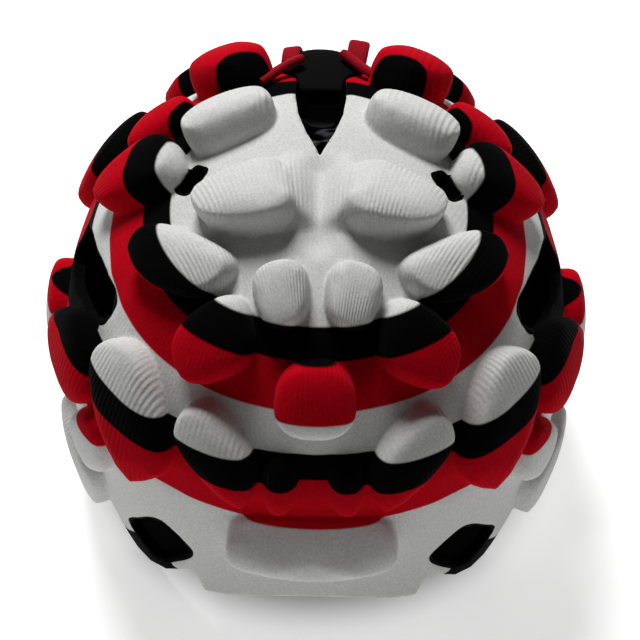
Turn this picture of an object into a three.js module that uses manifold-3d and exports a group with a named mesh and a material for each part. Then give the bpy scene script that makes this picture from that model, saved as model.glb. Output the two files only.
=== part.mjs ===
// A soft padded sports head cap: a foam shell in five panels with raised pads, vents and a crown slot, a
// black lining inside, gussets behind the slot and the temple vents, and a strap across the slot.
// Millimetres, +Z up, the brow faces -Y, and the cap stands on its ear flaps and nape at z = 0.
import * as THREE from 'three';
import { mergeVertices } from 'three/addons/utils/BufferGeometryUtils.js';
import Module from 'manifold-3d';

const wasm = await Module();
wasm.setup();

// Head form, measured from the centre of its widest level to the outside of the shell
const HALF_WIDTH = 91;
const HALF_FRONT = 94;
const HALF_BACK = 102;
const CROWN_RISE = 78;
const FULLNESS = 2.15;
// Half-heights of the curves that turn the form in below its widest level
const SIDE_TUCK = 140;
const FRONT_TUCK = 400;
const BACK_TUCK = 160;

// Walls and gaps
const SHELL_WALL = 3;
const LINING_WALL = 1.2;
const LINING_GAP = 0.7;
const LINING_SET_BACK = 2;
const PAD_GAP = 0.6;
const PANEL_GAP = 0.3;
const GUSSET_GAP = 0.5;
const CUT_DEPTH = 24;

// Panels of the shell: a crown above one level, and four round it between turns from the brow
const CROWN_LEVEL = 54;
const PANELS = [
  { name: 'front_panel', from: -50, to: 50 },
  { name: 'right_panel', from: 50, to: 128 },
  { name: 'back_panel', from: 128, to: 232 },
  { name: 'left_panel', from: 232, to: 310 },
];

// Working limits: how far a panel's cutting block reaches, points closer than this are one, the
// slope's step, the least share of a tucked radius and how often a distance is halved
const BLOCK_REACH = 300;
const MERGE_WITHIN = 1e-4;
const SLOPE_STEP = 0.05;
const LEAST_TUCK = 0.05;
const HALVINGS = 40;

// Grid of the shell and the lining
const UPPER_ROWS = 7;
const LOWER_ROWS = 3;

// Pads
const OUTLINE_SPACING = 9;
const FEWEST_STEPS = 12;
const MOST_STEPS = 16;
const CORNER_SHARE = 0.3;

// The strap across the slot
const STRAP = { rise: 47, halfLength: 16, width: 11, wall: 1.8, gap: 0.3, arch: 2, tilt: 5, steps: 8 };

const COLOURS = {
  white: { color: 0xd9d9d5, roughness: 0.85 },
  red: { color: 0xb0101c, roughness: 0.85 },
  black: { color: 0x17171a, roughness: 0.9 },
  lining: { color: 0x0d0d0f, roughness: 0.6 },
};

// Hoops of colour round an axis that leans forward from upright: how far up each one starts, in degrees
const HOOP_LEAN = 5;
const HOOPS = [
  { from: -90, colour: 'white' },
  { from: 8, colour: 'red' },
  { from: 20, colour: 'black' },
  { from: 26, colour: 'white' },
  { from: 35, colour: 'red' },
  { from: 45.5, colour: 'black' },
  { from: 53, colour: 'white' },
];

// How far the rim hangs below the widest level, round one side from brow to nape
const RIM = [
  { turn: 0, drop: 42 },
  { turn: 10, drop: 44 },
  { turn: 18, drop: 49 },
  { turn: 24, drop: 53 },
  { turn: 26, drop: 40 },
  { turn: 35, drop: 54 },
  { turn: 41, drop: 60 },
  { turn: 47, drop: 63 },
  { turn: 53, drop: 66 },
  { turn: 60, drop: 66 },
  { turn: 72, drop: 66 },
  { turn: 84, drop: 66 },
  { turn: 96, drop: 66 },
  { turn: 112, drop: 58 },
  { turn: 122, drop: 54 },
  { turn: 133, drop: 56 },
  { turn: 143, drop: 62 },
  { turn: 152, drop: 66 },
  { turn: 166, drop: 66 },
  { turn: 180, drop: 66 },
];

// Pads: where the middle sits (degrees round from the brow, degrees up from the widest level), how far
// the long axis leans from upright, the length, the widths at its two ends, their shift and the height
const PADS = [
  { name: 'front_crown_pad', turn: 64, rise: 69, lean: -5, length: 33, foot: 20, head: 39, skew: 0,
    tall: 11, pair: true },
  { name: 'crown_pad', turn: 129, rise: 61.5, lean: 44, length: 33, foot: 19, head: 24, skew: 9,
    tall: 11, pair: true },
  { name: 'rear_crown_pad', turn: 152, rise: 44, lean: 8, length: 28, foot: 30, head: 24, skew: 0,
    tall: 12, pair: true },
  { name: 'side_pad', turn: 98, rise: 45, lean: 17, length: 35, foot: 16, head: 30, skew: -3,
    tall: 10, pair: true },
  { name: 'rear_side_pad', turn: 123, rise: 43, lean: -52, length: 19, foot: 22, head: 31, skew: -5,
    tall: 7, pair: true },
  { name: 'upper_temple_pad', turn: 54, rise: 49.8, lean: 23, length: 21, foot: 34, head: 47, skew: -2,
    tall: 9, pair: true },
  { name: 'inner_forehead_pad', turn: 13, rise: 54, lean: 25, length: 23, foot: 15, head: 20, skew: -2,
    tall: 10, pair: true },
  { name: 'outer_forehead_pad', turn: 28.5, rise: 40.5, lean: -53, length: 27, foot: 21, head: 28.5, skew: 7,
    tall: 10, pair: true },
  { name: 'forehead_pad', turn: 0, rise: 33.5, lean: 0, length: 25, foot: 28, head: 24, skew: 0,
    tall: 10, pair: false },
  { name: 'small_brow_pad', turn: 6.8, rise: 14, lean: 0, length: 21, foot: 12, head: 11, skew: 0,
    tall: 7, pair: true },
  { name: 'brow_pad', turn: 0, rise: -3, lean: 90, length: 55, foot: 25, head: 25, skew: 0,
    tall: 9, pair: false },
  { name: 'leaf_pad', turn: 20.2, rise: 19.5, lean: -40, length: 20, foot: 43, head: 31, skew: 8,
    tall: 9, pair: true },
  { name: 'temple_pad', turn: 42.5, rise: 18, lean: -50, length: 28, foot: 54, head: 46, skew: 1,
    tall: 8, pair: true },
  { name: 'ear_pad', turn: 65, rise: 14, lean: 44, length: 34, foot: 20, head: 40, skew: 13,
    tall: 7, pair: true },
  { name: 'lower_ear_pad', turn: 53, rise: 0, lean: 44, length: 24, foot: 21, head: 30, skew: -8,
    tall: 6, pair: true },
  { name: 'flap_pad', turn: 68, rise: -23, lean: 0, length: 38, foot: 40, head: 50, skew: -8,
    tall: 6, pair: true },
  { name: 'rear_ear_pad', turn: 91, rise: 4, lean: 0, length: 26, foot: 34, head: 28, skew: 0,
    tall: 6, pair: true },
  { name: 'behind_ear_pad', turn: 107, rise: -17, lean: 0, length: 42, foot: 34, head: 44, skew: 0,
    tall: 6, pair: true },
  { name: 'back_side_pad', turn: 125, rise: 17, lean: 0, length: 33, foot: 46, head: 38, skew: 0,
    tall: 6, pair: true },
  { name: 'upper_back_pad', turn: 156, rise: 19, lean: 0, length: 33, foot: 45, head: 36, skew: 0,
    tall: 9, pair: true },
  { name: 'lower_back_pad', turn: 145, rise: -14, lean: 0, length: 46, foot: 44, head: 48, skew: 0,
    tall: 8, pair: true },
  { name: 'nape_pad', turn: 180, rise: -14, lean: 0, length: 50, foot: 40, head: 44, skew: 0,
    tall: 8, pair: false },
];

// Profile of a pad from the middle of its underside, over the wall and shoulder, to the middle of its top:
// the share of the outline that is kept, how far the wall has leaned in, and the share of the height
const PAD_PROFILE = [
  { keep: 0, inset: 0, height: 0 },
  { keep: 0.55, inset: 0, height: 0 },
  { keep: 1, inset: 0, height: 0 },
  { keep: 1, inset: 1, height: 0.55 },
  { keep: 1, inset: 3.6, height: 0.92 },
  { keep: 0.5, inset: 2, height: 1.02 },
  { keep: 0, inset: 0, height: 1.05 },
];

// Openings through the shell, laid out in the same way as the pads: the slot on the middle line, and a
// vent of each row on both sides, some of them with a gusset behind
const SLOT = { turn: 180, rise: 50, lean: 0, length: 98, width: 18, taper: 34, steps: 18 };
const VENTS = [
  { name: 'side_vent', turn: 81, rise: 24.5, lean: 111, length: 54, foot: 14, head: 20, skew: 0,
    steps: 14, gusset: null },
  { name: 'temple_vent', turn: 36, rise: -20.5, lean: -40, length: 32, foot: 20, head: 20, skew: 0,
    steps: 12, gusset: 'temple_gusset' },
  { name: 'small_vent', turn: 92, rise: 58, lean: 55, length: 12, foot: 6, head: 6, skew: 0,
    steps: 8, gusset: null },
];

// How far out a place lies, as a share of the head form grown by some millimetres
function formShare(place, grow) {
  const down = Math.min(place.z, 0);
  const up = Math.max(place.z, 0);
  const tuck = (half) => Math.sqrt(Math.max(1 - (down / half) ** 2, LEAST_TUCK));
  const across = (HALF_WIDTH + grow) * tuck(SIDE_TUCK);
  const front = (HALF_FRONT + grow) * tuck(FRONT_TUCK);
  const back = (HALF_BACK + grow) * tuck(BACK_TUCK);
  const along = place.y < 0 ? front : back;
  const ring = Math.abs(place.x / across) ** FULLNESS + Math.abs(place.y / along) ** FULLNESS;
  return (ring + (up / (CROWN_RISE + grow)) ** FULLNESS) ** (1 / FULLNESS);
}

// The point of the grown form that a ray from its centre meets
function onForm(ray, grow) {
  const point = new THREE.Vector3();
  let near = 1;
  let far = HALF_WIDTH + HALF_BACK;
  for (let halving = 0; halving < HALVINGS; halving++) {
    const middle = (near + far) / 2;
    point.copy(ray).setLength(middle);
    if (formShare(point, grow) < 1) near = middle;
    else far = middle;
  }
  return point;
}

// The point of the grown form at a turn and a level at or below the widest one
function atLevel(turn, level, grow) {
  const angle = THREE.MathUtils.degToRad(turn);
  const foot = new THREE.Vector3(Math.sin(angle), -Math.cos(angle), level);
  const radius = 1 / formShare(foot, grow);
  return new THREE.Vector3(foot.x * radius, foot.y * radius, level);
}

function rayAt(turn, rise) {
  const angle = THREE.MathUtils.degToRad(turn);
  const climb = THREE.MathUtils.degToRad(rise);
  const flat = Math.cos(climb);
  return new THREE.Vector3(Math.sin(angle) * flat, -Math.cos(angle) * flat, Math.sin(climb));
}

// Axes on the form at a place: out of the surface, up along it, and to the right as seen from outside
function frameAt(turn, rise) {
  const centre = onForm(rayAt(turn, rise), 0);
  const slope = (axis) => {
    const ahead = centre.clone();
    const behind = centre.clone();
    ahead[axis] += SLOPE_STEP;
    behind[axis] -= SLOPE_STEP;
    return formShare(ahead, 0) - formShare(behind, 0);
  };
  const out = new THREE.Vector3(slope('x'), slope('y'), slope('z')).normalize();
  const up = new THREE.Vector3(0, 0, 1).projectOnPlane(out).normalize();
  const right = new THREE.Vector3().crossVectors(up, out);
  return { centre, out, up, right };
}

// A tapered outline with rounded corners, along its own width and length
function outlineShape(row) {
  const end = row.length / 2;
  const shift = row.skew / 2;
  const corners = [
    new THREE.Vector2(row.foot / 2 - shift, -end),
    new THREE.Vector2(row.head / 2 + shift, end),
    new THREE.Vector2(-row.head / 2 + shift, end),
    new THREE.Vector2(-row.foot / 2 - shift, -end),
  ];
  const shape = new THREE.Shape();
  shape.moveTo(-shift, -end);
  corners.forEach((corner, index) => {
    const before = corners[(index + 3) % 4];
    const after = corners[(index + 1) % 4];
    const start = corner.clone().lerp(before, CORNER_SHARE);
    const stop = corner.clone().lerp(after, CORNER_SHARE);
    shape.lineTo(start.x, start.y);
    shape.quadraticCurveTo(corner.x, corner.y, stop.x, stop.y);
  });
  shape.closePath();
  return shape;
}

// A row of the vents, drawn in all round by some millimetres
function drawnIn(row, inset) {
  const { length, foot, head } = row;
  return { ...row, length: length - 2 * inset, foot: foot - 2 * inset, head: head - 2 * inset };
}

// Turns an outline's own width and length by its lean
function leaned(across, along, lean) {
  const angle = THREE.MathUtils.degToRad(lean);
  const x = across * Math.cos(angle) + along * Math.sin(angle);
  const y = along * Math.cos(angle) - across * Math.sin(angle);
  return new THREE.Vector2(x, y);
}

// Shares points that meet, drops faces without area and turns the body's faces outwards
function closedBody(geometry) {
  geometry.deleteAttribute('normal');
  geometry.deleteAttribute('uv');
  const merged = mergeVertices(geometry, MERGE_WITHIN);
  const position = merged.getAttribute('position');
  const corner = (index) => new THREE.Vector3().fromBufferAttribute(position, index);
  const faces = [];
  let volume = 0;
  for (let first = 0; first < merged.index.count; first += 3) {
    const [a, b, c] = [0, 1, 2].map((offset) => merged.index.getX(first + offset));
    if (a !== b && b !== c && c !== a) {
      faces.push([a, b, c]);
      volume += corner(a).dot(corner(b).cross(corner(c)));
    }
  }
  const order = volume > 0 ? faces : faces.map(([a, b, c]) => [a, c, b]);
  merged.setIndex(order.flat());
  merged.computeVertexNormals();
  return merged;
}

// A lathe gives the faces of a closed form, and each of its ring points then moves to its own place
function bentLathe(rows, columns, place) {
  const profile = [];
  for (let row = 0; row < rows; row++) {
    const angle = Math.PI * row / (rows - 1);
    profile.push(new THREE.Vector2(Math.sin(angle), -Math.cos(angle)));
  }
  const geometry = new THREE.LatheGeometry(profile, columns);
  const position = geometry.getAttribute('position');
  for (let column = 0; column <= columns; column++) {
    for (let row = 0; row < rows; row++) {
      const point = place(column % columns, row);
      position.setXYZ(column * rows + row, point.x, point.y, point.z);
    }
  }
  return closedBody(geometry);
}

function toSolid(geometry) {
  const vertProperties = new Float32Array(geometry.getAttribute('position').array);
  const triVerts = new Uint32Array(geometry.index.array);
  return new wasm.Manifold(new wasm.Mesh({ numProp: 3, vertProperties, triVerts }));
}

function toGeometry(solid) {
  const mesh = solid.getMesh();
  const geometry = new THREE.BufferGeometry();
  geometry.setAttribute('position', new THREE.BufferAttribute(mesh.vertProperties, 3));
  geometry.setIndex(new THREE.BufferAttribute(mesh.triVerts, 1));
  return closedBody(geometry);
}

// The rim's rows for both sides, all the way round from the brow
function rimColumns() {
  const back = RIM.slice(1, -1).reverse();
  return [...RIM, ...back.map((row) => ({ turn: 360 - row.turn, drop: row.drop }))];
}

// A wall on the form between two growths, down one face from the crown to the rim, which is set back by
// some millimetres, and up the other
function formWall(downGrow, upGrow, setBack) {
  const columns = rimColumns();
  const faceRows = UPPER_ROWS + LOWER_ROWS + 1;
  const wallPoint = (column, row) => {
    const goingDown = row < faceRows;
    const grow = goingDown ? downGrow : upGrow;
    const step = goingDown ? row : 2 * faceRows - 1 - row;
    const { turn, drop } = columns[column];
    if (step === 0) return onForm(new THREE.Vector3(0, 0, 1), grow);
    if (step < UPPER_ROWS) return onForm(rayAt(turn, 90 * (1 - step / UPPER_ROWS)), grow);
    return atLevel(turn, -(drop - setBack) * (step - UPPER_ROWS) / LOWER_ROWS, grow);
  };
  return bentLathe(2 * faceRows, columns.length, wallPoint);
}

// The slot's outline, drawn in by some millimetres: a pointed end at the crown, straight sides and a
// round end at the back
function slotShape(inset) {
  const half = SLOT.width / 2 - inset;
  const tip = SLOT.length / 2 - inset;
  const shoulder = tip - SLOT.taper;
  const fullness = tip - SLOT.taper / 2;
  const shape = new THREE.Shape();
  shape.moveTo(0, tip);
  shape.quadraticCurveTo(-half, fullness, -half, shoulder);
  shape.lineTo(-half, half - tip);
  shape.absarc(0, half - tip, half, Math.PI, 2 * Math.PI, false);
  shape.lineTo(half, shoulder);
  shape.quadraticCurveTo(half, fullness, 0, tip);
  return shape;
}

// A straight cutter through the wall with an opening's outline
function cutter(row, opening) {
  const { centre, out, up, right } = frameAt(row.turn, row.rise);
  const outline = opening.getSpacedPoints(row.steps);
  const shape = new THREE.Shape(outline.slice(0, -1).map((point) => leaned(point.x, point.y, row.lean)));
  const geometry = new THREE.ExtrudeGeometry(shape, { depth: 2 * CUT_DEPTH, bevelEnabled: false });
  geometry.translate(0, 0, -CUT_DEPTH);
  geometry.applyMatrix4(new THREE.Matrix4().makeBasis(right, up, out).setPosition(centre));
  return closedBody(geometry);
}

// A block round everything above the crown's level
function crownBlock() {
  const geometry = new THREE.BoxGeometry(BLOCK_REACH, BLOCK_REACH, BLOCK_REACH);
  geometry.translate(0, 0, CROWN_LEVEL + (PANEL_GAP + BLOCK_REACH) / 2);
  return closedBody(geometry);
}

// A wedge below the crown's level between two turns, half a gap short on each flat side
function sideBlock({ from, to }) {
  const heading = (turn) => {
    const ray = rayAt(turn, 0);
    return new THREE.Vector2(ray.x, ray.y);
  };
  const middle = (from + to) / 2;
  const halfTurn = THREE.MathUtils.degToRad((to - from) / 2);
  const apex = heading(middle).multiplyScalar(PANEL_GAP / 2 / Math.sin(halfTurn));
  const farPoint = (turn) => heading(turn).multiplyScalar(BLOCK_REACH).add(apex);
  const wedge = new THREE.Shape([apex, farPoint(from), farPoint(to)]);
  const geometry = new THREE.ExtrudeGeometry(wedge, { depth: BLOCK_REACH, bevelEnabled: false });
  geometry.translate(0, 0, CROWN_LEVEL - PANEL_GAP / 2 - BLOCK_REACH);
  return closedBody(geometry);
}

// The same body on the cap's other side
function mirrored(geometry) {
  return closedBody(geometry.clone().scale(-1, 1, 1));
}

function padGeometry(row) {
  const { centre, up, right } = frameAt(row.turn, row.rise);
  const shape = outlineShape(row);
  const spaced = Math.round(shape.getLength() / OUTLINE_SPACING);
  const steps = THREE.MathUtils.clamp(spaced, FEWEST_STEPS, MOST_STEPS);
  const outline = shape.getSpacedPoints(steps);
  const halfWidth = (row.foot + row.head) / 4;
  const halfLength = row.length / 2;
  const padPoint = (column, step) => {
    const { keep, inset, height } = PAD_PROFILE[step];
    const across = outline[column].x * keep * (1 - inset / halfWidth);
    const along = outline[column].y * keep * (1 - inset / halfLength);
    const spot = leaned(across, along, row.lean);
    const ray = centre.clone().addScaledVector(right, spot.x).addScaledVector(up, spot.y);
    return onForm(ray, PAD_GAP + height * row.tall);
  };
  return bentLathe(PAD_PROFILE.length, steps, padPoint);
}

// A band that arches over the slot, whose rear edge stands higher than its front edge
function strapGeometry() {
  const { rise, halfLength, width, wall, gap, arch, tilt, steps } = STRAP;
  const geometry = new THREE.BoxGeometry(2 * halfLength, width, wall, steps, 1, 1);
  const { centre, up, right } = frameAt(180, rise);
  const position = geometry.getAttribute('position');
  const corner = new THREE.Vector3();
  for (let index = 0; index < position.count; index++) {
    corner.fromBufferAttribute(position, index);
    const ray = centre.clone().addScaledVector(right, corner.x).addScaledVector(up, corner.y);
    const rearward = 0.5 - corner.y / width;
    const lift = (arch + tilt * rearward) * (1 - (corner.x / halfLength) ** 2);
    const point = onForm(ray, gap + lift + wall / 2 + corner.z);
    position.setXYZ(index, point.x, point.y, point.z);
  }
  return closedBody(geometry);
}

// The colour of the hoop that a place lies in
function hoopColour(turn, rise) {
  const lean = THREE.MathUtils.degToRad(HOOP_LEAN);
  const axis = new THREE.Vector3(0, -Math.sin(lean), Math.cos(lean));
  const up = 90 - THREE.MathUtils.radToDeg(rayAt(turn, rise).angleTo(axis));
  return HOOPS.findLast((hoop) => hoop.from <= up).colour;
}

const cap = new THREE.Group();

function addPiece(name, colour, geometry) {
  const piece = new THREE.Mesh(geometry, new THREE.MeshStandardMaterial(COLOURS[colour]));
  piece.name = name;
  cap.add(piece);
}

const rightCutters = VENTS.map((row) => cutter(row, outlineShape(row)));
const ventCutters = [...rightCutters, ...rightCutters.map(mirrored)];
const cutAll = (solid, cutters) => cutters.reduce((rest, tool) => rest.subtract(toSolid(tool)), solid);

const liningOuter = -SHELL_WALL - LINING_GAP;
const shellSolid = toSolid(formWall(0, -SHELL_WALL, 0));
// The lining's outer face goes up, as the shell's inner face does, so that their facets lie alike
const liningSolid = toSolid(formWall(liningOuter - LINING_WALL, liningOuter, LINING_SET_BACK));

const cutShell = cutAll(shellSolid, [...ventCutters, cutter(SLOT, slotShape(0))]);
addPiece('crown_panel', 'white', toGeometry(cutShell.intersect(toSolid(crownBlock()))));
for (const row of PANELS) {
  addPiece(row.name, 'white', toGeometry(cutShell.intersect(toSolid(sideBlock(row)))));
}

addPiece('lining', 'lining', toGeometry(cutAll(liningSolid, [...ventCutters, cutter(SLOT, slotShape(0))])));
const gussetBlock = toSolid(cutter(SLOT, slotShape(GUSSET_GAP)));
addPiece('slot_gusset', 'lining', toGeometry(liningSolid.intersect(gussetBlock)));
for (const row of VENTS.filter((vent) => vent.gusset)) {
  const block = toSolid(cutter(row, outlineShape(drawnIn(row, GUSSET_GAP))));
  const geometry = toGeometry(liningSolid.intersect(block));
  addPiece(`${row.gusset}_right`, 'lining', geometry);
  addPiece(`${row.gusset}_left`, 'lining', mirrored(geometry));
}
addPiece('slot_strap', 'black', strapGeometry());
for (const row of PADS) {
  const geometry = padGeometry(row);
  const colour = hoopColour(row.turn, row.rise);
  if (row.pair) {
    addPiece(`${row.name}_right`, colour, geometry);
    addPiece(`${row.name}_left`, colour, mirrored(geometry));
  } else {
    addPiece(row.name, colour, geometry);
  }
}

// Stand the cap on the floor, centred over the origin
const box = new THREE.Box3().setFromObject(cap);
const middle = box.getCenter(new THREE.Vector3());
cap.position.set(0, -middle.y, -box.min.z);

export default cap;
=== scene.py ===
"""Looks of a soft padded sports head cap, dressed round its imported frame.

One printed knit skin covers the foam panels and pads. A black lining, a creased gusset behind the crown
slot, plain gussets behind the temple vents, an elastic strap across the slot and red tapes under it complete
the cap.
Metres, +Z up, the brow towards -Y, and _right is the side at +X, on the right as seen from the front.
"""
import math

import bmesh
import bpy
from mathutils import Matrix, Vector
from mathutils.bvhtree import BVHTree


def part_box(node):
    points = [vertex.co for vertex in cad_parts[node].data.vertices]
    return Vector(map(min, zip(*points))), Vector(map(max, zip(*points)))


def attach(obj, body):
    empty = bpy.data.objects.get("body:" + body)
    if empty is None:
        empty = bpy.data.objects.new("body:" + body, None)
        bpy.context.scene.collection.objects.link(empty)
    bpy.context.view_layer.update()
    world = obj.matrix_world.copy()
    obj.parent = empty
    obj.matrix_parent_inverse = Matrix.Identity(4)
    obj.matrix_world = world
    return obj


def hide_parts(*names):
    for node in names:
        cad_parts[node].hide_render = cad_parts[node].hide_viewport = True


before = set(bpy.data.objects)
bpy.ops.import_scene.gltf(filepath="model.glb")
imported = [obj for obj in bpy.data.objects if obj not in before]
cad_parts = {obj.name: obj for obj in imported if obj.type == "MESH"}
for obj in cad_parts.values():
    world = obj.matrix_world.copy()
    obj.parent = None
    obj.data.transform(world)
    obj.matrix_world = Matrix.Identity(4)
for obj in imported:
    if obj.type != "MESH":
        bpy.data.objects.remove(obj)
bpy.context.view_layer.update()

MM = 0.001

# Head form of the shell's outside, from the centre of its widest level
HALF_WIDTH = 91 * MM
HALF_FRONT = 94 * MM
HALF_BACK = 102 * MM
CROWN_RISE = 78 * MM
FULLNESS = 2.15
SIDE_TUCK = 140 * MM
FRONT_TUCK = 400 * MM
BACK_TUCK = 160 * MM
LEAST_TUCK = 0.05
WIDEST_LEVEL = 66 * MM
FORM_CENTRE = Vector((0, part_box("front_panel")[0][1] + HALF_FRONT, WIDEST_LEVEL))
MERGE_WITHIN = 0.01 * MM
SLOPE_STEP = 0.1 * MM
HALVINGS = 40

PANEL_NODES = [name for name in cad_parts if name.endswith("_panel")]
PAD_NODES = [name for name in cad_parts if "_pad" in name]

# Pads: how deep they sit in the shell, how far their walls and shoulders stand out, and how the height of
# the wedges changes along an axis, back over the crown or up the brow: at the near end, at a ridge some
# share along and at the far end, how far the near end swings towards the middle line, and how far the
# outline spreads
PAD_SEAT_HEIGHT = 1.2 * MM
PAD_SINK = 2.4 * MM
PAD_FILL = 1.0 * MM
SHOULDER_FILL = 2.3 * MM
PAD_FILL_SHARE = 0.3
SHOULDER_BAND = (0.82, 0.97)
SHOULDER_CREASE = 1.0
WEDGE_PADS = {
    "front_crown_pad": {
        "axis": 1, "near": 0.3, "ridge": 0.3, "at": 0.05, "far": -0.7, "swing": 7 * MM, "spread": 0},
    "crown_pad": {
        "axis": 1, "near": 0.15, "ridge": 0.15, "at": 0.05, "far": -0.3, "swing": 0, "spread": 0},
    "brow_pad": {
        "axis": 2, "near": 0.0, "ridge": 0.4, "at": 0.3, "far": -0.95, "swing": 0, "spread": 2.5 * MM},
}
JOINED_WITHIN = math.radians(40)

# Cloth that fills the pads under pressure, and how far it may move a place
SWELL_CLOTH = {
    "quality": 4,
    "mass": 0.02,
    "tension_stiffness": 12,
    "compression_stiffness": 12,
    "shear_stiffness": 6,
    "bending_stiffness": 0.05,
    "use_pressure": True,
    "uniform_pressure_force": 900,
    "vertex_group_mass": "seat",
}
SWELL_FRAMES = 20
SWELL_LIMIT = 0.8 * MM

# Skin: the remeshed cell, how often it is smoothed, the heights between which a channel is levelled, how
# near a cut edge the skin is drawn on to it, how a cut wall is told from a face of the shell and from a
# seam, and the height of a full pad
SKIN_CELL = 1.0 * MM
SKIN_SMOOTHINGS = 2
SMOOTHING = 0.5
CHANNEL_FLOOR = 0.4 * MM
CHANNEL_SIDE = 1.6 * MM
EDGE_HOLD = 0.9 * MM
EDGE_REACH = 2.0 * MM
WALL_LEAN = 0.5
SEAM_SKIP = 0.05 * MM
SEAM_REACH = 0.6 * MM
FULL_LOFT = 6 * MM

# Lining and gussets: heights of their two faces over the form and of the parting between them, how finely
# they are cut, and the slot gusset's slack middle, sag and two sets of slanting folds at its front end
LINING_OUTSIDE = -3.7 * MM
LINING_INSIDE = -4.9 * MM
LINING_PARTING = -4.55 * MM
LINING_CUTS = 2
GUSSET_CUTS = 1
GUSSET_HALF_WIDTH = 8.7 * MM
GUSSET_SLACK = (0.45, 1.0)
GUSSET_SAG = 2.2 * MM
GUSSET_FOLD = 0.96 * MM
GUSSET_FOLDS_END = 34 * MM
CROSS_FOLD_PITCH = 9 * MM
CROSS_FOLD_SLANT = 0.6
LONG_FOLD_PITCH = 15.3 * MM
LONG_FOLD_SLANT = -0.4

# Groove between the front crown pads, from the slot's tip forwards: its ends, measured back from the form's
# centre, how far it fades, its half width and depth, and how far aside and how often its sides are softened
GROOVE_FRONT = -38 * MM
GROOVE_BACK = 9 * MM
GROOVE_FADE = 9 * MM
GROOVE_HALF_WIDTH = 8 * MM
GROOVE_DEPTH = 2.4 * MM
GROOVE_REACH = 15 * MM
GROOVE_SOFTENINGS = 10

# Hollow slope of the front crown pads' inner flanks: it rises from the back to a ridge, ends in front of it,
# and climbs from the middle line to the pad
FLANK_FRONT = -26 * MM
FLANK_RIDGE = -20 * MM
FLANK_BACK = 9 * MM
FLANK_HEIGHT = 12.5 * MM
FLANK_FOOT = 12 * MM
FLANK_HOLLOW = 1.1

# Vents, whose edges and the strips beside them are black, partly as binding print and partly as painted
# shade for the dark openings: places and leans in degrees, sizes and the strips' ends in millimetres
# across and along the vent
VENTS = [
    {"turn": 81, "rise": 24.5, "lean": 111, "length": 54, "foot": 14, "head": 20,
     "strips": [{"across": (5, 17), "along": (-25, 25)}]},
    {"turn": 36, "rise": -20.5, "lean": -40, "length": 32, "foot": 20, "head": 20,
     "strips": [{"across": (-34, -8), "along": (-34, -5)}, {"across": (-34, 4), "along": (-34, -14)}]},
    {"turn": 92, "rise": 58, "lean": 55, "length": 12, "foot": 6, "head": 6, "strips": []},
]
VENT_ROUNDNESS = 4.0
VENT_MARGIN = 0.9 * MM
VENT_EDGE = 0.04
INK_AND_SHADE_LOFT = (0.05, 0.2)
STRIP_REACH = 34 * MM
STRIP_EDGE = 0.4 * MM

# Print: inks, and hoops round an axis that leans forward from upright, by how far up each starts, in degrees
HOOP_LEAN = 5
WHITE = (0.62, 0.625, 0.61, 1)
RED = (0.46, 0.0012, 0.009, 1)
BLACK = (0.0015, 0.0015, 0.0018, 1)
HOOPS = [
    {"from": -90, "ink": WHITE},
    {"from": 8, "ink": RED},
    {"from": 20, "ink": BLACK},
    {"from": 26, "ink": WHITE},
    {"from": 35, "ink": RED},
    {"from": 45.5, "ink": BLACK},
    {"from": 53, "ink": WHITE},
]
PRINT_BLEED = 0.3 * MM

# Knit: the pitch of its wales, which run together in front of the crown and turn upright at some share of
# the way up, the patches where they stand out, and the grit and heather of the yarn
WALE_PITCH = 1.8 * MM
WALE_FAN = 120 * MM
WALE_TURN = (0.55, 0.75)
RIB_PATCH = 22 * MM
RIB_PATCH_EDGE = (0.4, 0.65)
RIB_ON_PADS = 0.5
RIB_EVERYWHERE = 0.1
GRIT_SIZE = 0.8 * MM
GRIT_DETAIL = 3.0
GRIT_SHARE = 0.8
GRIT_RANGE = (0.3, 0.7)
HEATHER_SHADES = (0.88, 1.06)
KNIT_ROUGHNESS = 0.9
KNIT_RELIEF = 0.17 * MM
KNIT_SHEEN = 0.012
SHEEN_ROUGHNESS = 0.4
KNIT_GLOSS = 0.02

# Woven finishes: two shades mixed by a grain, with ribs along an axis: sizes and relief in millimetres
WEAVES = {
    "satin_lining": {
        "dark": (0.0015, 0.0015, 0.0018, 1), "light": (0.004, 0.004, 0.0045, 1), "grain": 0.7,
        "rib_axis": "Y", "rib_pitch": 1.0, "rib_share": 0,
        "roughness": 0.65, "relief": 0.05, "gloss": 0.0},
    "black_elastic": {
        "dark": (0.001, 0.001, 0.0013, 1), "light": (0.0035, 0.0035, 0.004, 1), "grain": 0.6,
        "rib_axis": "Y", "rib_pitch": 1.1, "rib_share": 0.4,
        "roughness": 0.8, "relief": 0.1, "gloss": 0.04},
    "tape_weave": {
        "dark": (0.22, 0.002, 0.008, 1), "light": (0.36, 0.004, 0.014, 1), "grain": 0.5,
        "rib_axis": "X", "rib_pitch": 0.8, "rib_share": 0.35,
        "roughness": 0.8, "relief": 0.12, "gloss": 0.08},
}

# Creased satin of the slot gusset: painted highlights on creases drawn out sideways, ending where the folds
# do
CREASE_STRETCH = (0.35, 1, 1)
CREASE_SIZE = 5 * MM
CREASE_DETAIL = 1.0
CREASE_EDGE = (0.52, 0.62)
PAINTED_HIGHLIGHTS_START = GUSSET_FOLDS_END - 2 * CROSS_FOLD_PITCH
CREASE_DARK = (0.0008, 0.0008, 0.001, 1)
CREASE_PAINTED_HIGHLIGHT = (0.05, 0.05, 0.053, 1)
CREASE_ROUGHNESS = 0.55
CREASE_RELIEF = 0.3 * MM

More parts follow.
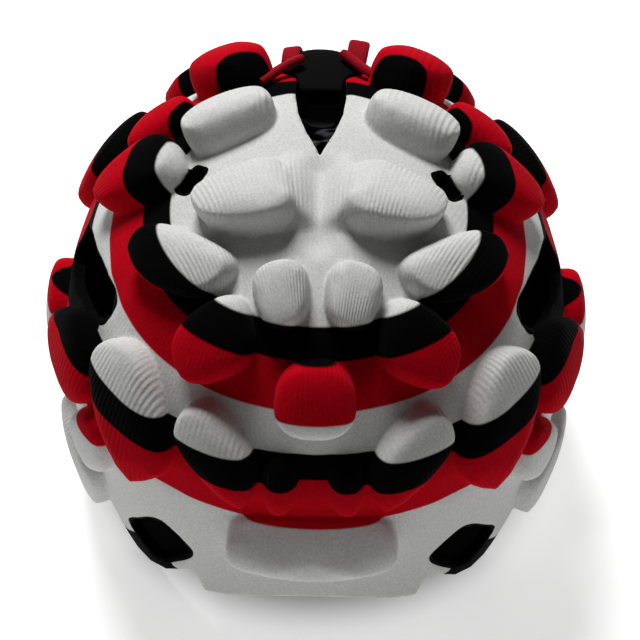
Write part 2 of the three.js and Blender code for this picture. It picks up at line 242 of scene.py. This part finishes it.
# The strap over the slot, from a tongue in the slot to a wide arch behind it, and the red tapes under it:
# places are beside and behind the form's centre with a lift over the form, in millimetres for the tapes
STRAP_CELLS = {"x_segments": 24, "y_segments": 6}
STRAP_HALF_LENGTH = 16 * MM
STRAP_TONGUE = 8 * MM
STRAP_SPREAD = (0.25, 0.65)
STRAP_ARCH = 2.4
STRAP_FRONT = 52 * MM
STRAP_BACK = 71 * MM
STRAP_FRONT_LIFT = -2.5 * MM
STRAP_BACK_LIFT = 7.6 * MM
STRAP_END_LIFT = 1.2 * MM
STRAP_WALL = 2.2 * MM
TAPE_CELLS = {"x_segments": 24, "y_segments": 3}
TAPE_STEP = 0.02
TAPES = {
    "left_tape": {"width": 4, "wall": 3.0, "route": [
        (-6, 61.5, 4.4), (-10, 59.5, 3.4), (-14, 57, 2.2), (-18, 53, 1.3), (-21.5, 49.5, 0.8)]},
    "right_tape": {"width": 4, "wall": 3.2, "route": [
        (6.5, 65.5, 5.6), (10, 63, 3.8), (14.5, 59, 2.2), (19, 55.5, 1.3), (23, 53, 0.8)]},
    "left_tape_fold": {"width": 7, "wall": 2.0, "route": [
        (-11, 67.5, 2.4), (-10.5, 69, 4.6), (-10, 71.5, 6.0), (-9.5, 75, 4.0)]},
    "right_tape_fold": {"width": 8, "wall": 2.4, "route": [
        (12.2, 67, 2.4), (12.4, 68.5, 6.2), (12.6, 71, 8.6), (12.6, 74, 7.2), (12.6, 75.5, 3.5)]},
}

# Camera: degrees up and round from straight in front, its roll, metres away, the square frame, the focal
# length and the place of the form's centre in pixels, and the sensor in millimetres
CAMERA_RISE = 50
CAMERA_TURN = -0.5
CAMERA_ROLL = 1.6
CAMERA_DISTANCE = 0.75
FRAME_PIXELS = 640
FOCAL_PIXELS = 2040
CENTRE_PIXEL = (316, 318)
SENSOR = 36

# Floor and light: a white table that begins to glow between two radii, a faint sky and one soft key light
PURE_WHITE = (1, 1, 1, 1)
FLOOR_HALF = 30
FLOOR_GRAIN = 4 * MM
FLOOR_DETAIL = 3.0
FLOOR_SHADES = ((0.80, 0.80, 0.80, 1), (0.83, 0.83, 0.83, 1))
FLOOR_ROUGHNESS = 0.7
FLOOR_RELIEF = 0.02 * MM
FLOOR_GLOSS = 0.2
FLOOR_GLOW = 0.65
GLOW_RADIUS = (0.07, 0.1)
WORLD_LIGHT = 0.04
KEY_PLACE = (-0.25, 0.75, 1.3)
KEY_TARGET = (0, 0, 0.1)
KEY_SIZE = 0.6
KEY_POWER = 24


def smooth_step(low, high, value):
    share = min(max((value - low) / (high - low), 0.0), 1.0)
    return share * share * (3 - 2 * share)


def form_share(arm, grow=0.0):
    """How far out a place lies from the form's centre, as a share of the form grown by some metres."""
    down = min(arm.z, 0.0)

    def tucked(half, height):
        return (half + grow) * math.sqrt(max(1 - (down / height) ** 2, LEAST_TUCK))

    across = tucked(HALF_WIDTH, SIDE_TUCK)
    along = tucked(HALF_FRONT, FRONT_TUCK) if arm.y < 0 else tucked(HALF_BACK, BACK_TUCK)
    rise = max(arm.z, 0.0) / (CROWN_RISE + grow)
    total = abs(arm.x / across) ** FULLNESS + abs(arm.y / along) ** FULLNESS + rise ** FULLNESS
    return total ** (1 / FULLNESS)


def over_form(place, grow=0.0):
    """A place's height over the grown form and the direction of that height, level below the widest."""
    arm = place - FORM_CENTRE
    share = form_share(arm, grow)
    reach = Vector((arm.x, arm.y, max(arm.z, 0.0)))
    return reach.length * (1 - 1 / share), reach.normalized()


def on_form(heading):
    """The point of the form, from its centre, that lies in some direction."""
    near, far = MM, HALF_WIDTH + HALF_BACK
    for _ in range(HALVINGS):
        middle = (near + far) / 2
        if form_share(heading * middle) < 1:
            near = middle
        else:
            far = middle
    return heading * near


def on_crown(across, back, lift):
    """The place over the crown that lies some metres aside of and behind the form's centre."""
    ring = abs(across / HALF_WIDTH) ** FULLNESS + abs(back / HALF_BACK) ** FULLNESS
    arm = Vector((across, back, CROWN_RISE * (1 - ring) ** (1 / FULLNESS)))
    return FORM_CENTRE + arm + arm.normalized() * lift


def node_copy(names):
    """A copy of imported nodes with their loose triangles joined."""
    bm = bmesh.new()
    for name in names:
        bm.from_mesh(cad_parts[name].data)
    bmesh.ops.remove_doubles(bm, verts=bm.verts, dist=MERGE_WITHIN)
    return bm


def new_piece(name, bm, material=None):
    mesh = bpy.data.meshes.new(name)
    bm.to_mesh(mesh)
    bm.free()
    mesh.shade_smooth()
    if material:
        mesh.materials.append(material)
    piece = bpy.data.objects.new(name, mesh)
    bpy.context.scene.collection.objects.link(piece)
    return piece


def bake_modifiers(piece):
    """Puts what the modifiers make into the piece's own mesh."""
    graph = bpy.context.evaluated_depsgraph_get()
    baked = bpy.data.meshes.new_from_object(piece.evaluated_get(graph))
    old = piece.data
    piece.modifiers.clear()
    piece.data = baked
    bpy.data.meshes.remove(old)


def subdivide(piece, levels):
    surface = piece.modifiers.new("round", "SUBSURF")
    surface.levels = levels
    surface.render_levels = levels
    bake_modifiers(piece)


def wedge_share(wedge, run):
    """The change in a wedge's height some share of the way along it."""
    if run < wedge["at"]:
        return wedge["near"] + (wedge["ridge"] - wedge["near"]) * max(run, 0) / wedge["at"]
    return wedge["ridge"] + (wedge["far"] - wedge["ridge"]) * (run - wedge["at"]) / (1 - wedge["at"])


def wedge_of(name):
    return next((row for stem, row in WEDGE_PADS.items() if name.startswith(stem)), None)


def add_pad(bm, name, seat):
    """Adds one pad, filled out and sunk into the shell, and shapes it where it is a wedge."""
    first = len(bm.verts)
    pad = node_copy([name])
    mesh = bpy.data.meshes.new("pad")
    pad.to_mesh(mesh)
    pad.free()
    bm.from_mesh(mesh)
    bpy.data.meshes.remove(mesh)
    bm.verts.ensure_lookup_table()
    low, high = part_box(name)
    wedge = wedge_of(name)
    verts = bm.verts[first:]
    middle = sum((vert.co for vert in verts), Vector()) / len(verts)
    heights = [over_form(vert.co) for vert in verts]
    tallest = max(height for height, _ in heights)
    crease = bm.edges.layers.float["crease_edge"]
    shoulder = set()
    for vert, (height, out) in zip(verts, heights):
        fill = PAD_FILL
        if SHOULDER_BAND[0] < height / tallest < SHOULDER_BAND[1]:
            shoulder.add(vert)
            fill = SHOULDER_FILL
        aside = vert.co - middle
        aside -= out * aside.dot(out)
        vert.co += aside.normalized() * min(fill, aside.length * PAD_FILL_SHARE)
        if wedge:
            vert.co += aside.normalized() * min(wedge["spread"], aside.length * PAD_FILL_SHARE)
            axis = wedge["axis"]
            run = (vert.co[axis] - low[axis]) / (high[axis] - low[axis])
            vert.co += out * height * wedge_share(wedge, run)
            vert.co.x -= math.copysign(wedge["swing"] * (0.5 - run), middle.x)
        if height < PAD_SEAT_HEIGHT:
            vert[seat][0] = 1.0
            vert.co -= out * PAD_SINK
    for edge in {edge for vert in shoulder for edge in vert.link_edges}:
        if edge.verts[0] in shoulder and edge.verts[1] in shoulder:
            edge[crease] = SHOULDER_CREASE


def swell(piece):
    """Fills the pads: cloth under pressure, with the undersides held."""
    scene = bpy.context.scene
    start = [vert.co.copy() for vert in piece.data.vertices]
    cloth = piece.modifiers.new("swell", "CLOTH")
    for key, value in SWELL_CLOTH.items():
        setattr(cloth.settings, key, value)
    cloth.settings.effector_weights.gravity = 0
    cloth.collision_settings.use_collision = False
    cloth.point_cache.frame_end = SWELL_FRAMES
    for number in range(1, SWELL_FRAMES + 1):
        scene.frame_set(number)
    bake_modifiers(piece)
    scene.frame_set(1)
    for vert, place in zip(piece.data.vertices, start):
        shift = vert.co - place
        if shift.length > SWELL_LIMIT:
            vert.co = place + shift.normalized() * SWELL_LIMIT


def filled_pads():
    """All the pads, rounded and filled, as one loose mesh."""
    bm = bmesh.new()
    seat = bm.verts.layers.deform.verify()
    bm.edges.layers.float.new("crease_edge")
    for name in PAD_NODES:
        add_pad(bm, name, seat)
    bmesh.ops.join_triangles(
        bm, faces=bm.faces, angle_face_threshold=JOINED_WITHIN, angle_shape_threshold=JOINED_WITHIN)
    pads = new_piece("pads", bm)
    pads.vertex_groups.new(name="seat")
    subdivide(pads, 1)
    swell(pads)
    subdivide(pads, 1)
    return pads


def smooth(bm, verts, times):
    for _ in range(times):
        bmesh.ops.smooth_vert(
            bm, verts=verts, factor=SMOOTHING, use_axis_x=True, use_axis_y=True, use_axis_z=True)


def level_channels(bm):
    """Lays the channels between the pads on the head form, and leaves the pads and the inside alone."""
    for vert in bm.verts:
        height, out = over_form(vert.co)
        if abs(height) < CHANNEL_SIDE:
            keep = smooth_step(CHANNEL_FLOOR, CHANNEL_SIDE, abs(height))
            vert.co -= out * height * (1 - keep)


def fill_flank(vert):
    """Raises a place beside the groove to the hollow slope of the pad's inner flank."""
    arm = vert.co - FORM_CENTRE
    if FLANK_FRONT < arm.y < FLANK_BACK and abs(arm.x) < FLANK_FOOT:
        height, out = over_form(vert.co)
        run = min((FLANK_BACK - arm.y) / (FLANK_BACK - FLANK_RIDGE), 1.0)
        run *= smooth_step(FLANK_FRONT, FLANK_RIDGE, arm.y)
        slope = FLANK_HEIGHT * run * (abs(arm.x) / FLANK_FOOT) ** FLANK_HOLLOW
        vert.co += out * max(slope - height, 0.0)


def crown_groove(bm):
    """Softens the inner flanks of the front crown pads and presses a groove between them."""
    valley = []
    for vert in bm.verts:
        arm = vert.co - FORM_CENTRE
        if arm.z > 0 and abs(arm.x) < GROOVE_REACH and GROOVE_FRONT < arm.y < GROOVE_BACK:
            if over_form(vert.co)[0] > -CHANNEL_SIDE:
                valley.append(vert)
    for vert in valley:
        fill_flank(vert)
    smooth(bm, valley, GROOVE_SOFTENINGS)
    for vert in valley:
        arm = vert.co - FORM_CENTRE
        _, out = over_form(vert.co)
        front_share = smooth_step(GROOVE_FRONT, GROOVE_FRONT + GROOVE_FADE, arm.y)
        back_share = 1 - smooth_step(GROOVE_BACK - GROOVE_FADE, GROOVE_BACK, arm.y)
        share = 1 - smooth_step(0, GROOVE_HALF_WIDTH, abs(arm.x))
        vert.co -= out * GROOVE_DEPTH * share * front_share * back_share


def cut_walls():
    """The panels' cut edges round the vents, the slot and the rim, without the seams between panels."""
    bm = node_copy(PANEL_NODES)
    panels = BVHTree.FromBMesh(bm)
    others = []
    for face in bm.faces:
        middle = face.calc_center_median()
        _, out = over_form(middle)
        ahead = middle + face.normal * SEAM_SKIP
        on_seam = panels.ray_cast(ahead, face.normal, SEAM_REACH)[0] is not None
        if on_seam or abs(face.normal.dot(out)) > WALL_LEAN:
            others.append(face)
    bmesh.ops.delete(bm, geom=others, context="FACES")
    return BVHTree.FromBMesh(bm)


def seat_edges(bm, walls):
    """Draws the skin on to the true cut edges, which remeshing leaves ragged."""
    for vert in bm.verts:
        place, _, _, gap = walls.find_nearest(vert.co, EDGE_REACH)
        if place:
            vert.co = vert.co.lerp(place, 1 - smooth_step(EDGE_HOLD, EDGE_REACH, gap))


def knit_skin(material):
    """The printed knit over the foam: panels and pads welded into one soft skin."""
    pads = filled_pads()
    bm = node_copy(PANEL_NODES)
    bm.from_mesh(pads.data)
    bpy.data.objects.remove(pads)
    skin = new_piece("knit_skin", bm)
    weld = skin.modifiers.new("weld", "REMESH")
    weld.mode = "VOXEL"
    weld.voxel_size = SKIN_CELL
    bake_modifiers(skin)
    bm = bmesh.new()
    bm.from_mesh(skin.data)
    smooth(bm, bm.verts, SKIN_SMOOTHINGS)
    level_channels(bm)
    smooth(bm, bm.verts, 1)
    crown_groove(bm)
    seat_edges(bm, cut_walls())
    bm.to_mesh(skin.data)
    bm.free()
    lofts = [smooth_step(0, FULL_LOFT, over_form(vert.co)[0]) for vert in skin.data.vertices]
    skin.data.attributes.new("loft", "FLOAT", "POINT").data.foreach_set("value", lofts)
    skin.data.materials.clear()
    skin.data.materials.append(material)
    skin.data.shade_smooth()
    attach(skin, "root")
    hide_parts(*PANEL_NODES, *PAD_NODES)


def smooth_wall(name):
    """A finer copy of a thin wall whose two faces follow the head form."""
    bm = node_copy([name])
    depth = bm.verts.layers.float.new("depth")
    for vert in bm.verts:
        height, _ = over_form(vert.co)
        vert[depth] = LINING_OUTSIDE if height > LINING_PARTING else LINING_INSIDE
    bmesh.ops.subdivide_edges(bm, edges=bm.edges, cuts=LINING_CUTS, use_grid_fill=True)
    for vert in bm.verts:
        height, out = over_form(vert.co, vert[depth])
        vert.co -= out * height
    bm.verts.layers.float.remove(depth)
    return bm


def add_lining(name, node, bm, material):
    piece = new_piece(name, bm, material)
    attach(piece, "root")
    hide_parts(node)


def slot_gusset():
    """Slack black cloth under the slot, which sags and folds at its front end."""
    bm = smooth_wall("slot_gusset")
    bmesh.ops.subdivide_edges(bm, edges=bm.edges, cuts=GUSSET_CUTS, use_grid_fill=True)
    for vert in bm.verts:
        x, y, _ = vert.co
        _, out = over_form(vert.co)
        slack = 1 - smooth_step(*GUSSET_SLACK, abs(x) / GUSSET_HALF_WIDTH)
        near = 1 - smooth_step(GUSSET_FOLDS_END - CROSS_FOLD_PITCH, GUSSET_FOLDS_END, y)
        folds = math.sin(2 * math.pi * (y + CROSS_FOLD_SLANT * x) / CROSS_FOLD_PITCH)
        folds += math.sin(2 * math.pi * (x + LONG_FOLD_SLANT * y) / LONG_FOLD_PITCH)
        sag = GUSSET_SAG * (2 - near) + GUSSET_FOLD * near * folds
        vert.co -= out * slack * sag
    return bm


def linings(material):
    add_lining("inner_lining", "lining", smooth_wall("lining"), material)
    # The slot gusset's satin has painted highlights along its creases
    add_lining("creased_gusset", "slot_gusset", slot_gusset(), creased_satin_painted_highlights())
    for side in ("right", "left"):
        node = f"temple_gusset_{side}"
        add_lining(f"vent_gusset_{side}", node, smooth_wall(node), material)


def crown_strap(material):
    """The elastic band that arches over the slot, with a tongue down into it."""
    bm = bmesh.new()
    bmesh.ops.create_grid(bm, **STRAP_CELLS, size=1.0)
    for vert in bm.verts:
        across = vert.co.x
        back = (vert.co.y + 1) / 2
        spread = smooth_step(*STRAP_SPREAD, back)
        half = STRAP_TONGUE + (STRAP_HALF_LENGTH - STRAP_TONGUE) * spread
        arch = 1 - spread * abs(across) ** STRAP_ARCH
        top = STRAP_FRONT_LIFT + (STRAP_BACK_LIFT - STRAP_FRONT_LIFT) * back
        lift = STRAP_END_LIFT + (top - STRAP_END_LIFT) * arch
        depth = STRAP_FRONT + (STRAP_BACK - STRAP_FRONT) * back
        vert.co = on_crown(across * half, depth, lift)
    bmesh.ops.recalc_face_normals(bm, faces=bm.faces)
    bmesh.ops.solidify(bm, geom=bm.faces, thickness=STRAP_WALL)
    bmesh.ops.recalc_face_normals(bm, faces=bm.faces)
    strap = new_piece("crown_strap", bm, material)
    subdivide(strap, 1)
    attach(strap, "root")
    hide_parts("slot_strap")


def along_route(points, share):
    """A place on a smooth route through points."""
    spans = len(points) - 1
    index = min(int(share * spans), spans - 1)
    step = share * spans - index
    before, start, stop, after = (points[min(max(index + hop, 0), spans)] for hop in (-1, 0, 1, 2))
    pull = (stop - before) / 2
    push = (after - start) / 2
    cubic = (start - stop) * 2 + pull + push
    square = (stop - start) * 3 - pull * 2 - push
    return ((cubic * step + square) * step + pull) * step + start


def red_tape(name, row, material):
    """A rolled tape along a route over the crown."""
    points = [on_crown(across * MM, back * MM, lift * MM) for across, back, lift in row["route"]]
    bm = bmesh.new()
    bmesh.ops.create_grid(bm, **TAPE_CELLS, size=1.0)
    for vert in bm.verts:
        share = (vert.co.x + 1) / 2
        place = along_route(points, share)
        ahead = along_route(points, min(share + TAPE_STEP, 1.0))
        behind = along_route(points, max(share - TAPE_STEP, 0.0))
        _, out = over_form(place)
        aside = (ahead - behind).cross(out).normalized()
        vert.co = place + aside * vert.co.y * row["width"] * MM / 2
    bmesh.ops.recalc_face_normals(bm, faces=bm.faces)
    bmesh.ops.solidify(bm, geom=bm.faces, thickness=row["wall"] * MM)
    bmesh.ops.recalc_face_normals(bm, faces=bm.faces)
    tape = new_piece(name, bm, material)
    subdivide(tape, 1)
    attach(tape, "root")


# Materials

class Shader:
    """A material's node tree, with short calls for the nodes used here."""

    # Numbers of a mix node's colour sockets
    MIX_FIRST = 6
    MIX_SECOND = 7
    MIX_RESULT = 2

    def __init__(self, name):
        self.material = bpy.data.materials.new(name)
        self.material.use_nodes = True
        self.tree = self.material.node_tree
        self.surface = self.tree.nodes["Principled BSDF"]

    def node(self, kind, settings=None, **sockets):
        node = self.tree.nodes.new(kind)
        for key, value in (settings or {}).items():
            setattr(node, key, value)
        for key, value in sockets.items():
            self.plug(node.inputs[key.replace("_", " ")], value)
        return node

    def plug(self, socket, value):
        if isinstance(value, bpy.types.NodeSocket):
            self.tree.links.new(value, socket)
        else:
            socket.default_value = value

    def math(self, operation, *values):
        node = self.tree.nodes.new("ShaderNodeMath")
        node.operation = operation
        for socket, value in zip(node.inputs, values):
            self.plug(socket, value)
        return node.outputs[0]

    def vector(self, operation, *values):
        node = self.tree.nodes.new("ShaderNodeVectorMath")
        node.operation = operation
        for socket, value in zip(node.inputs, values):
            self.plug(socket, value)
        return node.outputs["Value" if operation in ("DOT_PRODUCT", "LENGTH") else "Vector"]

    def mix(self, share, first, second, blend="MIX"):
        node = self.tree.nodes.new("ShaderNodeMix")
        node.data_type = "RGBA"
        node.blend_type = blend
        self.plug(node.inputs["Factor"], share)
        self.plug(node.inputs[self.MIX_FIRST], first)
        self.plug(node.inputs[self.MIX_SECOND], second)
        return node.outputs[self.MIX_RESULT]

    def ramp(self, value, low, high, start=0.0, stop=1.0):
        node = self.tree.nodes.new("ShaderNodeMapRange")
        node.interpolation_type = "SMOOTHSTEP"
        for socket, number in zip(node.inputs, (value, low, high, start, stop)):
            self.plug(socket, number)
        return node.outputs[0]

    def noise(self, place, size, detail=2.0):
        node = self.node("ShaderNodeTexNoise", Vector=place, Scale=1 / size, Detail=detail)
        return node.outputs["Fac"]

    def split(self, vector):
        return self.node("ShaderNodeSeparateXYZ", Vector=vector).outputs

    def place(self):
        return self.node("ShaderNodeTexCoord").outputs["Object"]

    def attribute(self, name):
        return self.node("ShaderNodeAttribute", {"attribute_name": name}).outputs["Fac"]

    def finish(self, colour, roughness, height, relief, gloss, sheen=0.0):
        bump = self.node("ShaderNodeBump", Height=height, Distance=relief, Strength=1.0)
        self.plug(self.surface.inputs["Base Color"], colour)
        self.plug(self.surface.inputs["Normal"], bump.outputs["Normal"])
        self.surface.inputs["Roughness"].default_value = roughness
        self.surface.inputs["Specular IOR Level"].default_value = gloss
        self.surface.inputs["Sheen Weight"].default_value = sheen
        self.surface.inputs["Sheen Roughness"].default_value = SHEEN_ROUGHNESS
        return self.material


def hoop_print(shader, unit):
    """The printed hoops' colour at a direction from the form's centre."""
    lean = math.radians(HOOP_LEAN)
    level = shader.vector("DOT_PRODUCT", unit, (0, -math.sin(lean), math.cos(lean)))
    bleed = PRINT_BLEED / HALF_WIDTH
    colour = HOOPS[0]["ink"]
    for hoop in HOOPS[1:]:
        edge = math.sin(math.radians(hoop["from"]))
        colour = shader.mix(shader.ramp(level, edge - bleed, edge + bleed), colour, hoop["ink"])
    return colour


def vent_frame(vent):
    """A vent's middle, from the form's centre, and the directions across and along it."""
    turn = math.radians(vent["turn"])
    rise = math.radians(vent["rise"])
    heading = Vector((math.sin(turn) * math.cos(rise), -math.cos(turn) * math.cos(rise), math.sin(rise)))
    middle = on_form(heading)
    slopes = []
    for axis in range(3):
        step = Vector()
        step[axis] = SLOPE_STEP
        slopes.append(form_share(middle + step) - form_share(middle - step))
    out = Vector(slopes).normalized()
    right = Vector((0, 0, 1)).cross(out).normalized()
    up = out.cross(right)
    lean = math.radians(vent["lean"])
    across = right * math.cos(lean) - up * math.sin(lean)
    along = right * math.sin(lean) + up * math.cos(lean)
    return middle, across, along


def opening_ink_and_painted_shade(shader, vent, across, along):
    """Black inside a vent's tapered round outline and just round it, as print and as painted shade."""
    taper = (vent["head"] - vent["foot"]) / 2 / vent["length"]
    half_width = (vent["head"] + vent["foot"]) / 4 * MM + VENT_MARGIN
    half_length = vent["length"] / 2 * MM + VENT_MARGIN
    half = shader.math("MULTIPLY_ADD", along, taper, half_width)
    across_share = shader.math("DIVIDE", shader.math("ABSOLUTE", across), half)
    along_share = shader.math("DIVIDE", shader.math("ABSOLUTE", along), half_length)
    powers = [shader.math("POWER", share, VENT_ROUNDNESS) for share in (across_share, along_share)]
    return shader.ramp(shader.math("ADD", *powers), 1 - VENT_EDGE, 1 + VENT_EDGE, 1.0, 0.0)


def between(shader, value, ends):
    """1 between two ends in millimetres, 0 outside them."""
    low, high = (end * MM for end in ends)
    above = shader.ramp(value, low - STRIP_EDGE, low + STRIP_EDGE)
    below = shader.ramp(value, high - STRIP_EDGE, high + STRIP_EDGE, 1.0, 0.0)
    return shader.math("MULTIPLY", above, below)


def vent_ink_and_painted_shade(shader, arm):
    """Where the skin is black at the vents of both sides, as print and as painted shade."""
    parts = shader.split(arm)
    beside = shader.math("ABSOLUTE", parts["X"])
    mirrored = shader.node("ShaderNodeCombineXYZ", X=beside, Y=parts["Y"], Z=parts["Z"]).outputs[0]
    flat = shader.ramp(shader.attribute("loft"), *INK_AND_SHADE_LOFT, 1.0, 0.0)
    ink = 0.0
    for vent in VENTS:
        middle, across_way, along_way = vent_frame(vent)
        spot = shader.vector("SUBTRACT", mirrored, middle)
        across = shader.vector("DOT_PRODUCT", spot, across_way)
        along = shader.vector("DOT_PRODUCT", spot, along_way)
        marks = [shader.math("MULTIPLY", flat, opening_ink_and_painted_shade(shader, vent, across, along))]
        for strip in vent["strips"]:
            strip_across = between(shader, across, strip["across"])
            marks.append(shader.math("MULTIPLY", strip_across, between(shader, along, strip["along"])))
        spread = shader.vector("LENGTH", spot)
        near = shader.ramp(spread, STRIP_REACH - STRIP_EDGE, STRIP_REACH + STRIP_EDGE, 1.0, 0.0)
        for mark in marks:
            ink = shader.math("MAXIMUM", ink, shader.math("MULTIPLY", mark, near))
    return ink


def knit_wales(shader, arm, unit):
    """Ribs of the knit: fanned over the crown, upright round the sides."""
    parts = shader.split(arm)
    x = parts["X"]
    y = parts["Y"]
    fan = shader.math("ARCTAN2", x, shader.math("ADD", y, WALE_FAN))
    over = shader.math("SINE", shader.math("MULTIPLY", fan, 2 * math.pi * WALE_FAN / WALE_PITCH))
    turn = shader.math("ARCTAN2", x, shader.math("MULTIPLY", y, -1.0))
    round_sides = shader.math("SINE", shader.math("MULTIPLY", turn, 2 * math.pi * HALF_WIDTH / WALE_PITCH))
    on_top = shader.ramp(shader.split(unit)["Z"], *WALE_TURN)
    side_share = shader.math("SUBTRACT", 1.0, on_top)
    return shader.math("MULTIPLY_ADD", over, on_top, shader.math("MULTIPLY", round_sides, side_share))


def printed_knit():
    shader = Shader("printed_knit")
    arm = shader.vector("SUBTRACT", shader.place(), FORM_CENTRE)
    unit = shader.vector("NORMALIZE", arm)
    colour = hoop_print(shader, unit)
    # Vents: black as binding print and as painted shade standing in for the dark openings
    colour = shader.mix(vent_ink_and_painted_shade(shader, arm), colour, BLACK)
    patch = shader.ramp(shader.noise(arm, RIB_PATCH), *RIB_PATCH_EDGE)
    loft = shader.attribute("loft")
    strength = shader.math("MULTIPLY_ADD", shader.math("MULTIPLY", loft, patch), RIB_ON_PADS, RIB_EVERYWHERE)
    ribs = shader.math("MULTIPLY", knit_wales(shader, arm, unit), strength)
    grit = shader.noise(arm, GRIT_SIZE, GRIT_DETAIL)
    height = shader.math("MULTIPLY_ADD", grit, GRIT_SHARE, ribs)
    heather = shader.ramp(grit, *GRIT_RANGE, *HEATHER_SHADES)
    heather_colour = shader.node("ShaderNodeCombineColor", Red=heather, Green=heather, Blue=heather)
    colour = shader.mix(1.0, colour, heather_colour.outputs[0], "MULTIPLY")
    return shader.finish(colour, KNIT_ROUGHNESS, height, KNIT_RELIEF, KNIT_GLOSS, KNIT_SHEEN)


def woven(name):
    """A black or red weave with its grain and ribs."""
    row = WEAVES[name]
    shader = Shader(name)
    place = shader.place()
    ribs_per_metre = 1 / (row["rib_pitch"] * MM)
    turns = shader.math("MULTIPLY", shader.split(place)[row["rib_axis"]], 2 * math.pi * ribs_per_metre)
    grain = shader.noise(place, row["grain"] * MM)
    colour = shader.mix(grain, row["dark"], row["light"])
    height = shader.math("MULTIPLY_ADD", shader.math("SINE", turns), row["rib_share"], grain)
    return shader.finish(colour, row["roughness"], height, row["relief"] * MM, row["gloss"])


def creased_satin_painted_highlights():
    """Black satin with painted highlights, a lighter colour along the creases of its slack front end."""
    shader = Shader("creased_satin_painted_highlights")
    place = shader.place()
    stretched = shader.vector("MULTIPLY", place, CREASE_STRETCH)
    crease = shader.ramp(shader.noise(stretched, CREASE_SIZE, CREASE_DETAIL), *CREASE_EDGE)
    near = shader.ramp(shader.split(place)["Y"], PAINTED_HIGHLIGHTS_START, GUSSET_FOLDS_END, 1.0, 0.0)
    # Painted highlights: the creases near the front end are mixed towards a lighter colour
    colour = shader.mix(shader.math("MULTIPLY", crease, near), CREASE_DARK, CREASE_PAINTED_HIGHLIGHT)
    return shader.finish(colour, CREASE_ROUGHNESS, crease, CREASE_RELIEF, gloss=0.0)


def pale_floor():
    """A white table that glows round the cap, not under it."""
    shader = Shader("pale_floor")
    grain = shader.noise(shader.place(), FLOOR_GRAIN, FLOOR_DETAIL)
    colour = shader.mix(grain, *FLOOR_SHADES)
    spread = shader.vector("LENGTH", shader.place())
    glow = shader.ramp(spread, *GLOW_RADIUS, 0.0, FLOOR_GLOW)
    shader.plug(shader.surface.inputs["Emission Strength"], glow)
    shader.surface.inputs["Emission Color"].default_value = PURE_WHITE
    return shader.finish(colour, FLOOR_ROUGHNESS, grain, FLOOR_RELIEF, FLOOR_GLOSS)


# Camera, floor and light

def camera():
    data = bpy.data.cameras.new("camera")
    data.sensor_width = SENSOR
    data.lens = SENSOR * FOCAL_PIXELS / FRAME_PIXELS
    turn = math.radians(CAMERA_TURN)
    rise = math.radians(CAMERA_RISE)
    back = Vector((math.sin(turn) * math.cos(rise), -math.cos(turn) * math.cos(rise), math.sin(rise)))
    facing = back.to_track_quat("Z", "Y").to_matrix()
    roll = math.radians(CAMERA_ROLL)
    right = facing.col[0] * math.cos(roll) + facing.col[1] * math.sin(roll)
    up = facing.col[1] * math.cos(roll) - facing.col[0] * math.sin(roll)
    scale = CAMERA_DISTANCE / FOCAL_PIXELS
    middle = FRAME_PIXELS / 2
    target = FORM_CENTRE + (right * (middle - CENTRE_PIXEL[0]) + up * (CENTRE_PIXEL[1] - middle)) * scale
    body = bpy.data.objects.new("camera", data)
    for column, axis in enumerate((right, up, back)):
        for row in range(3):
            body.matrix_world[row][column] = axis[row]
    body.location = target + back * CAMERA_DISTANCE
    bpy.context.scene.collection.objects.link(body)
    bpy.context.scene.camera = body


def area_light(name, place, target, size, power):
    data = bpy.data.lights.new(name, "AREA")
    data.shape = "DISK"
    data.size = size
    data.energy = power
    light = bpy.data.objects.new(name, data)
    light.location = place
    light.rotation_euler = (Vector(target) - Vector(place)).to_track_quat("-Z", "Y").to_euler()
    bpy.context.scene.collection.objects.link(light)


def stage():
    bm = bmesh.new()
    bmesh.ops.create_grid(bm, x_segments=2, y_segments=2, size=FLOOR_HALF)
    new_piece("floor", bm, pale_floor())
    world = bpy.data.worlds.new("world")
    world.use_nodes = True
    sky = world.node_tree.nodes["Background"]
    sky.inputs["Color"].default_value = PURE_WHITE
    sky.inputs["Strength"].default_value = WORLD_LIGHT
    bpy.context.scene.world = world
    bpy.context.scene.view_settings.view_transform = "Standard"
    area_light("key", KEY_PLACE, KEY_TARGET, KEY_SIZE, KEY_POWER)


knit_skin(printed_knit())
linings(woven("satin_lining"))
crown_strap(woven("black_elastic"))
tape_material = woven("tape_weave")
for tape_name, tape_row in TAPES.items():
    red_tape(tape_name, tape_row, tape_material)
camera()
stage()
